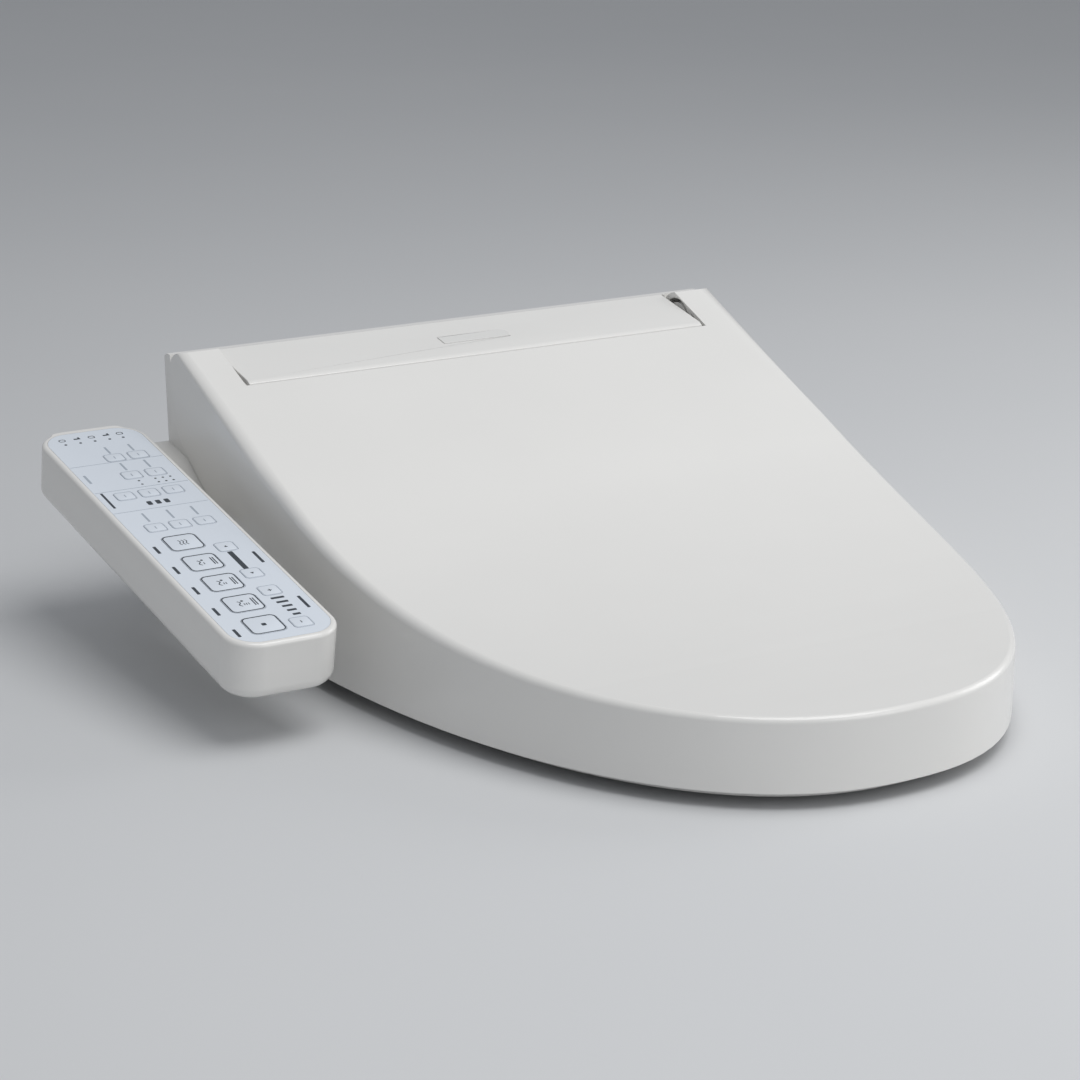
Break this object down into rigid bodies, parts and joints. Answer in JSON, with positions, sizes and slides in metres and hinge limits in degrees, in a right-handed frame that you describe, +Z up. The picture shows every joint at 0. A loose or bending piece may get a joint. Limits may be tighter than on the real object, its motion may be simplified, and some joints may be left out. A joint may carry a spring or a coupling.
{
  "type": "electric bidet seat",
  "caption": "Electric bidet seat with a hinged lid and heated seat ring, a washing wand, a warm-air dryer and a side control arm with sprung keys.",
  "frame": {"origin": "midway between the two mounting-bolt holes, on the plane of the bowl rim", "axes": "+X to the right seen from the front, -Y towards the front of the bowl, +Z up"},
  "size_m": [0.496, 0.5305, 0.1682],
  "materials": {
    "gloss_shell": "warm white, glossy",
    "case_plastic": "warm white, satin",
    "plate_plastic": "mid grey, satin",
    "grey_plastic": "light grey, satin",
    "black_plastic": "black, satin",
    "badge": "pale silver, satin",
    "rubber_dark": "black, matt",
    "rubber_grey": "grey, matt",
    "steel": "brushed",
    "copper": "copper sheath, satin",
    "brass": "machined",
    "heater_film": "amber film",
    "tank_plastic": "milky, satin",
    "board_green": "solder-mask green",
    "film": "cool white film, satin",
    "key_cap": "cool white, satin"
  },
  "bodies": {
    "main_unit": {"base_case": "case_plastic", "top_cover": "gloss_shell", "top_panel": "gloss_shell", "badge_plate": "badge", "base_feet": "rubber_dark", "case_screws": "steel", "hinge_pins": "steel", "soft_close_dampers": "black_plastic", "water_tank": "tank_plastic", "tank_heater": "copper", "inlet_valve": "black_plastic", "inlet_fitting": "brass", "drain_plug": "grey_plastic", "cord_gland": "rubber_dark", "wand_guide": "grey_plastic", "wand_motor": "steel", "dryer_housing": "grey_plastic", "dryer_motor": "steel", "dryer_duct": "grey_plastic", "main_board": "board_green", "arm_upper": "gloss_shell", "arm_lower": "gloss_shell", "panel_overlay": "film", "control_board": "board_green", "arm_screws": "steel"},
    "mounting_plate": {"mounting_plate": "plate_plastic"},
    "release_button": {"release_button": "grey_plastic"},
    "seat": {"seat_top": "gloss_shell", "seat_base": "case_plastic", "seat_heater": "heater_film", "seat_bumpers": "rubber_grey"},
    "lid": {"lid_shell": "gloss_shell", "lid_bumpers": "rubber_grey"},
    "wand": {"wand": "steel", "wand_tip": "grey_plastic", "wand_gate": "case_plastic"},
    "wand_roller": {"wand_roller": "rubber_dark"},
    "fan": {"dryer_impeller": "black_plastic"},
    "dryer_flap": {"dryer_flap": "case_plastic"},
    "key_stop": {"key_stop": "key_cap"},
    "key_rear": {"key_rear": "key_cap"},
    "key_soft": {"key_soft": "key_cap"},
    "key_front": {"key_front": "key_cap"},
    "key_dryer": {"key_dryer": "key_cap"},
    "key_pressure_down": {"key_pressure_down": "key_cap"},
    "key_pressure_up": {"key_pressure_up": "key_cap"},
    "key_position_down": {"key_position_down": "key_cap"},
    "key_position_up": {"key_position_up": "key_cap"},
    "key_row_a_left": {"key_row_a_left": "key_cap"},
    "key_row_a_right": {"key_row_a_right": "key_cap"},
    "key_row_b_left": {"key_row_b_left": "key_cap"},
    "key_row_b_right": {"key_row_b_right": "key_cap"},
    "key_row_c_left": {"key_row_c_left": "key_cap"},
    "key_row_c_middle": {"key_row_c_middle": "key_cap"},
    "key_row_c_right": {"key_row_c_right": "key_cap"},
    "key_row_d_left": {"key_row_d_left": "key_cap"},
    "key_row_d_middle": {"key_row_d_middle": "key_cap"},
    "key_row_d_right": {"key_row_d_right": "key_cap"}
  },
  "joints": [
    {"name": "unit_slide", "type": "slide", "parent": "main_unit", "child": "mounting_plate", "axis": [0, 1, 0], "range_m": [0, 0.05]},
    {"name": "release_press", "type": "slide", "parent": "main_unit", "child": "release_button", "axis": [-1, 0, 0], "range_m": [0, 0.004], "stiffness_N_per_m": 600},
    {"name": "seat_hinge", "type": "hinge", "parent": "main_unit", "child": "seat", "pos_m": [0, 0.032, 0.1485], "axis": [-1, 0, 0], "range_deg": [0, 98]},
    {"name": "lid_hinge", "type": "hinge", "parent": "seat", "child": "lid", "pos_m": [0, 0.032, 0.1485], "axis": [1, 0, 0], "range_deg": [-105, 0]},
    {"name": "wand_slide", "type": "slide", "parent": "main_unit", "child": "wand", "axis": [0, -0.9135, -0.4067], "range_m": [0, 0.09]},
    {"name": "roller_spin", "type": "hinge", "parent": "main_unit", "child": "wand_roller", "pos_m": [0, -0.07539, 0.05761], "axis": [1, 0, 0], "range_deg": [-700, 10]},
    {"name": "fan_spin", "type": "hinge", "parent": "main_unit", "child": "fan", "pos_m": [0.088, -0.01, 0.048], "axis": [1, 0, 0], "continuous": true},
    {"name": "flap_hinge", "type": "hinge", "parent": "main_unit", "child": "dryer_flap", "pos_m": [0.088, -0.0908, 0.0366], "axis": [-1, 0, 0], "range_deg": [0, 70]},
    {"name": "press_stop", "type": "slide", "parent": "main_unit", "child": "key_stop", "axis": [0, 0.1788, -0.9839], "range_m": [0, 0.0008], "stiffness_N_per_m": 400},
    {"name": "press_rear", "type": "slide", "parent": "main_unit", "child": "key_rear", "axis": [0, 0.1788, -0.9839], "range_m": [0, 0.0008], "stiffness_N_per_m": 400},
    {"name": "press_soft", "type": "slide", "parent": "main_unit", "child": "key_soft", "axis": [0, 0.1788, -0.9839], "range_m": [0, 0.0008], "stiffness_N_per_m": 400},
    {"name": "press_front", "type": "slide", "parent": "main_unit", "child": "key_front", "axis": [0, 0.1788, -0.9839], "range_m": [0, 0.0008], "stiffness_N_per_m": 400},
    {"name": "press_dryer", "type": "slide", "parent": "main_unit", "child": "key_dryer", "axis": [0, 0.1788, -0.9839], "range_m": [0, 0.0008], "stiffness_N_per_m": 400},
    {"name": "press_pressure_down", "type": "slide", "parent": "main_unit", "child": "key_pressure_down", "axis": [0, 0.1788, -0.9839], "range_m": [0, 0.0008], "stiffness_N_per_m": 400},
    {"name": "press_pressure_up", "type": "slide", "parent": "main_unit", "child": "key_pressure_up", "axis": [0, 0.1788, -0.9839], "range_m": [0, 0.0008], "stiffness_N_per_m": 400},
    {"name": "press_position_down", "type": "slide", "parent": "main_unit", "child": "key_position_down", "axis": [0, 0.1788, -0.9839], "range_m": [0, 0.0008], "stiffness_N_per_m": 400},
    {"name": "press_position_up", "type": "slide", "parent": "main_unit", "child": "key_position_up", "axis": [0, 0.1788, -0.9839], "range_m": [0, 0.0008], "stiffness_N_per_m": 400},
    {"name": "press_row_a_left", "type": "slide", "parent": "main_unit", "child": "key_row_a_left", "axis": [0, 0.1788, -0.9839], "range_m": [0, 0.0008], "stiffness_N_per_m": 400},
    {"name": "press_row_a_right", "type": "slide", "parent": "main_unit", "child": "key_row_a_right", "axis": [0, 0.1788, -0.9839], "range_m": [0, 0.0008], "stiffness_N_per_m": 400},
    {"name": "press_row_b_left", "type": "slide", "parent": "main_unit", "child": "key_row_b_left", "axis": [0, 0.1788, -0.9839], "range_m": [0, 0.0008], "stiffness_N_per_m": 400},
    {"name": "press_row_b_right", "type": "slide", "parent": "main_unit", "child": "key_row_b_right", "axis": [0, 0.1788, -0.9839], "range_m": [0, 0.0008], "stiffness_N_per_m": 400},
    {"name": "press_row_c_left", "type": "slide", "parent": "main_unit", "child": "key_row_c_left", "axis": [0, 0.1788, -0.9839], "range_m": [0, 0.0008], "stiffness_N_per_m": 400},
    {"name": "press_row_c_middle", "type": "slide", "parent": "main_unit", "child": "key_row_c_middle", "axis": [0, 0.1788, -0.9839], "range_m": [0, 0.0008], "stiffness_N_per_m": 400},
    {"name": "press_row_c_right", "type": "slide", "parent": "main_unit", "child": "key_row_c_right", "axis": [0, 0.1788, -0.9839], "range_m": [0, 0.0008], "stiffness_N_per_m": 400},
    {"name": "press_row_d_left", "type": "slide", "parent": "main_unit", "child": "key_row_d_left", "axis": [0, 0.1788, -0.9839], "range_m": [0, 0.0008], "stiffness_N_per_m": 400},
    {"name": "press_row_d_middle", "type": "slide", "parent": "main_unit", "child": "key_row_d_middle", "axis": [0, 0.1788, -0.9839], "range_m": [0, 0.0008], "stiffness_N_per_m": 400},
    {"name": "press_row_d_right", "type": "slide", "parent": "main_unit", "child": "key_row_d_right", "axis": [0, 0.1788, -0.9839], "range_m": [0, 0.0008], "stiffness_N_per_m": 400}
  ],
  "couplings": [
    {"joint": "roller_spin", "follows": "wand_slide", "rad_per_m": -125}
  ]
}
